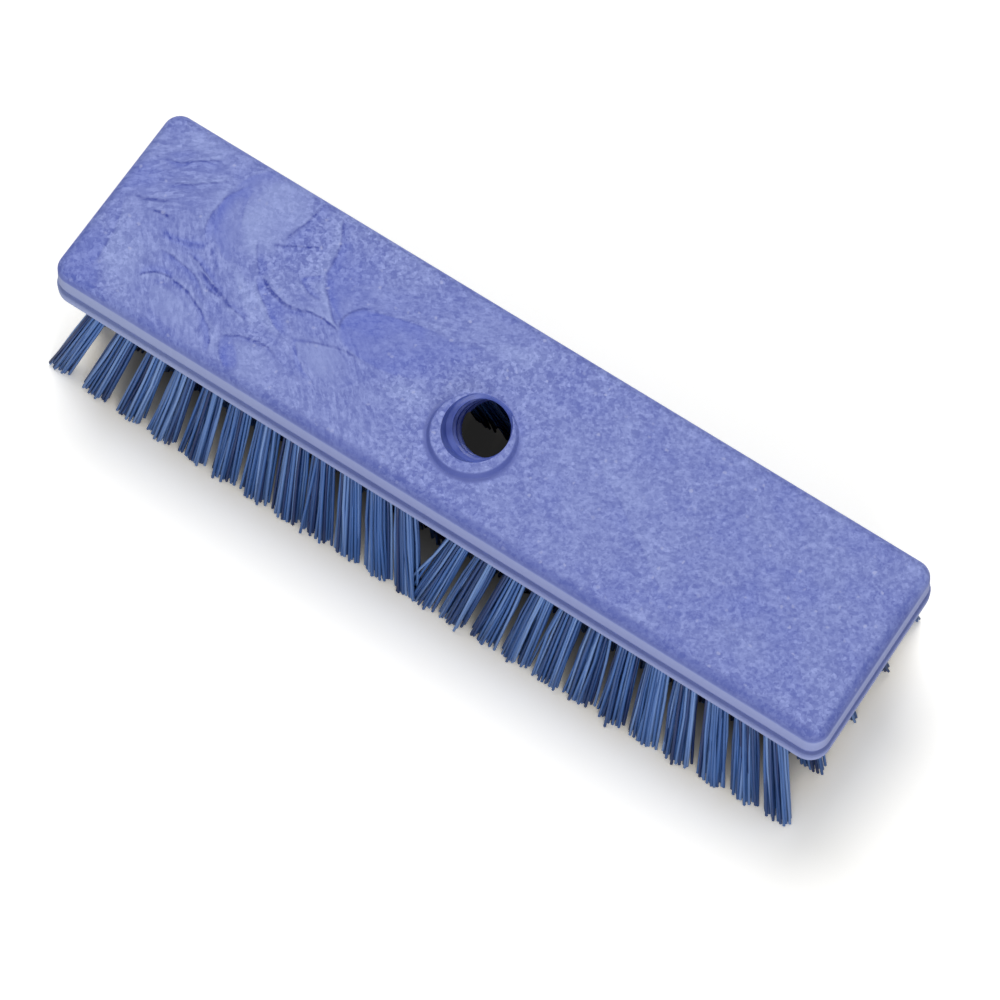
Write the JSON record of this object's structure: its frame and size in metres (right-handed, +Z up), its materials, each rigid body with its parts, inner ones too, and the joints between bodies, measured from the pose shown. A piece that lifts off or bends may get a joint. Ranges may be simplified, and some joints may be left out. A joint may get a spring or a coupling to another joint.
{
  "type": "deck brush",
  "caption": "Moulded block brush head with a slanted socket for a screw-in handle and coarse bristle tufts that flare out past its sides.",
  "frame": {"origin": "middle of the brush on the plane of the bristle tips, which it stands on", "axes": "+X along the head, +Y across it away from the side that the handle leans to, +Z up through the head's flat top"},
  "size_m": [0.254, 0.082, 0.0603],
  "materials": {
    "head_plastic": "moulded periwinkle blue plastic, finely mottled, with marbled flow lines near one end",
    "bristle_plastic": "coarse crimp-free polypropylene filament, mid blue, slightly glossy"
  },
  "bodies": {
    "root": {"head": "head_plastic", "tufts_left_01": "bristle_plastic", "tufts_left_02": "bristle_plastic", "tufts_left_03": "bristle_plastic", "tufts_left_04": "bristle_plastic", "tufts_left_05": "bristle_plastic", "tufts_left_06": "bristle_plastic", "tufts_left_07": "bristle_plastic", "tufts_left_08": "bristle_plastic", "tufts_left_09": "bristle_plastic", "tufts_left_10": "bristle_plastic", "tufts_left_11": "bristle_plastic", "tufts_left_12": "bristle_plastic", "tufts_right_01": "bristle_plastic", "tufts_right_02": "bristle_plastic", "tufts_right_03": "bristle_plastic", "tufts_right_04": "bristle_plastic", "tufts_right_05": "bristle_plastic", "tufts_right_06": "bristle_plastic", "tufts_right_07": "bristle_plastic", "tufts_right_08": "bristle_plastic", "tufts_right_09": "bristle_plastic", "tufts_right_10": "bristle_plastic", "tufts_right_11": "bristle_plastic", "tufts_right_12": "bristle_plastic"}
  },
  "joints": []
}
